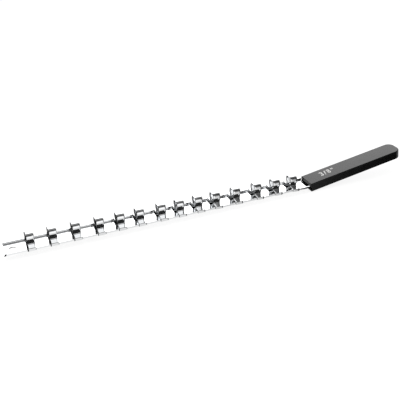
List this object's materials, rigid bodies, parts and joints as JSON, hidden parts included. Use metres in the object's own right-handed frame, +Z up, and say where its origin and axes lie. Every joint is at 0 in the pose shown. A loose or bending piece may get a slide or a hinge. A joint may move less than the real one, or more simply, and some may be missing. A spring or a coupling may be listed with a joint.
{
  "type": "socket rail",
  "caption": "Chrome-plated folded steel rail with sliding spring clips that hold square-drive sockets, and a black vinyl-covered handle bent up at one end.",
  "frame": {"origin": "on the flat underside of the rail, on its centre line, halfway between its free end and the mouth of the handle's grip", "axes": "+X runs along the rail to the grip, +Y across it, +Z up, the way the clips stand"},
  "size_m": [0.4121, 0.0222, 0.0266],
  "materials": {
    "chrome_plate": "mirror",
    "spring_steel": "bright",
    "black_vinyl": "satin"
  },
  "bodies": {
    "rail_and_grip": {"rail": "chrome_plate", "grip": "black_vinyl"},
    "clip_01": {"clip_01": "spring_steel"},
    "clip_02": {"clip_02": "spring_steel"},
    "clip_03": {"clip_03": "spring_steel"},
    "clip_04": {"clip_04": "spring_steel"},
    "clip_05": {"clip_05": "spring_steel"},
    "clip_06": {"clip_06": "spring_steel"},
    "clip_07": {"clip_07": "spring_steel"},
    "clip_08": {"clip_08": "spring_steel"},
    "clip_09": {"clip_09": "spring_steel"},
    "clip_10": {"clip_10": "spring_steel"},
    "clip_11": {"clip_11": "spring_steel"},
    "clip_12": {"clip_12": "spring_steel"},
    "clip_13": {"clip_13": "spring_steel"},
    "clip_14": {"clip_14": "spring_steel"}
  },
  "joints": [
    {"name": "clip_01_slide", "type": "slide", "parent": "rail_and_grip", "child": "clip_01", "axis": [1, 0, 0], "range_m": [-0.0085, 0.0058]},
    {"name": "clip_02_slide", "type": "slide", "parent": "rail_and_grip", "child": "clip_02", "axis": [1, 0, 0], "range_m": [-0.0058, 0.0064]},
    {"name": "clip_03_slide", "type": "slide", "parent": "rail_and_grip", "child": "clip_03", "axis": [1, 0, 0], "range_m": [-0.0064, 0.0067]},
    {"name": "clip_04_slide", "type": "slide", "parent": "rail_and_grip", "child": "clip_04", "axis": [1, 0, 0], "range_m": [-0.0067, 0.0057]},
    {"name": "clip_05_slide", "type": "slide", "parent": "rail_and_grip", "child": "clip_05", "axis": [1, 0, 0], "range_m": [-0.0057, 0.0054]},
    {"name": "clip_06_slide", "type": "slide", "parent": "rail_and_grip", "child": "clip_06", "axis": [1, 0, 0], "range_m": [-0.0054, 0.0065]},
    {"name": "clip_07_slide", "type": "slide", "parent": "rail_and_grip", "child": "clip_07", "axis": [1, 0, 0], "range_m": [-0.0065, 0.0051]},
    {"name": "clip_08_slide", "type": "slide", "parent": "rail_and_grip", "child": "clip_08", "axis": [1, 0, 0], "range_m": [-0.0051, 0.0054]},
    {"name": "clip_09_slide", "type": "slide", "parent": "rail_and_grip", "child": "clip_09", "axis": [1, 0, 0], "range_m": [-0.0054, 0.0051]},
    {"name": "clip_10_slide", "type": "slide", "parent": "rail_and_grip", "child": "clip_10", "axis": [1, 0, 0], "range_m": [-0.0051, 0.0067]},
    {"name": "clip_11_slide", "type": "slide", "parent": "rail_and_grip", "child": "clip_11", "axis": [1, 0, 0], "range_m": [-0.0067, 0.0075]},
    {"name": "clip_12_slide", "type": "slide", "parent": "rail_and_grip", "child": "clip_12", "axis": [1, 0, 0], "range_m": [-0.0075, 0.0064]},
    {"name": "clip_13_slide", "type": "slide", "parent": "rail_and_grip", "child": "clip_13", "axis": [1, 0, 0], "range_m": [-0.0064, 0.0057]},
    {"name": "clip_14_slide", "type": "slide", "parent": "rail_and_grip", "child": "clip_14", "axis": [1, 0, 0], "range_m": [-0.0057, 0.0132]}
  ]
}
